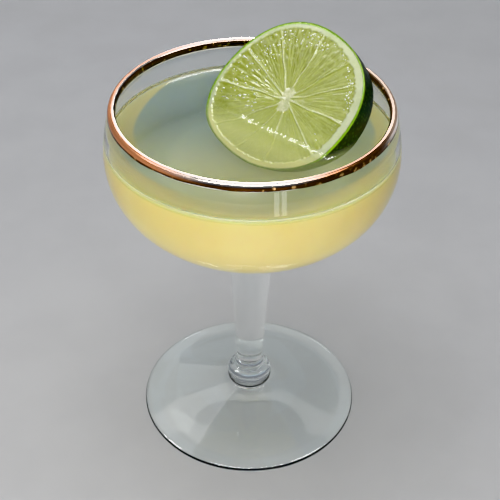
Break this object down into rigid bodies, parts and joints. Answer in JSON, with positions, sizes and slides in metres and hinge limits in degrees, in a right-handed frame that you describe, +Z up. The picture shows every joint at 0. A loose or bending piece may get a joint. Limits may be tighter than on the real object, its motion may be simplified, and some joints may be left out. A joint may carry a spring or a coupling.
{
  "type": "daiquiri in a stemmed coupe glass",
  "caption": "Cloudy pale yellow daiquiri in a clear stemmed coupe with a gold-banded lip, and a lime wheel leaning in the drink.",
  "frame": {"origin": "middle of the foot's resting ring, on the surface the glass stands on", "axes": "+Z up along the stem; -Y towards someone who faces the lime's cut face; +X to their right"},
  "size_m": [0.0948, 0.0948, 0.1385],
  "materials": {
    "clear_glass": "clear, polished",
    "gold": "fired gold with a copper tint, polished",
    "drink": "cloudy liquid with a wet surface",
    "lime": "wet cut fruit with a waxy green rind"
  },
  "bodies": {
    "root": {"glass": "clear_glass", "gold_band": "gold", "drink": "drink", "lime_wheel": "lime"}
  },
  "joints": []
}
